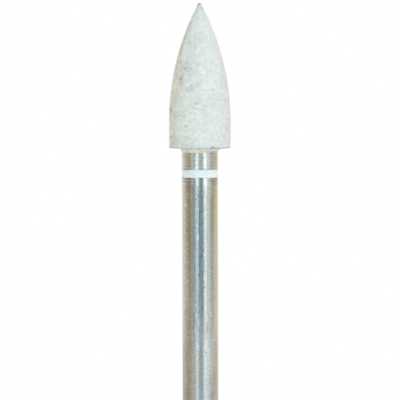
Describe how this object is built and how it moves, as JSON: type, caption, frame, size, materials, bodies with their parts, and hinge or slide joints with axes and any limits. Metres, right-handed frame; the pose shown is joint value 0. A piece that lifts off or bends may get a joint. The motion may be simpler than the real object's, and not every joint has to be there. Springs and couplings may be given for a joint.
{
  "type": "dental polisher",
  "caption": "Flame-shaped white abrasive head cemented onto a straight steel handpiece shank, with a white colour ring on the neck.",
  "frame": {"origin": "centre of the shank's butt end, which goes to the bottom of the chuck", "axes": "+Z along the shank's axis, towards the tip of the head; +X runs through one flute of the hidden retention pin"},
  "size_m": [0.004, 0.004, 0.0445],
  "materials": {
    "abrasive": "matt, fine grained",
    "steel": "ground",
    "cement": "as cured",
    "enamel": "satin"
  },
  "bodies": {
    "root": {"abrasive_head": "abrasive", "shank": "steel", "adhesive": "cement", "color_ring": "enamel"}
  },
  "joints": []
}
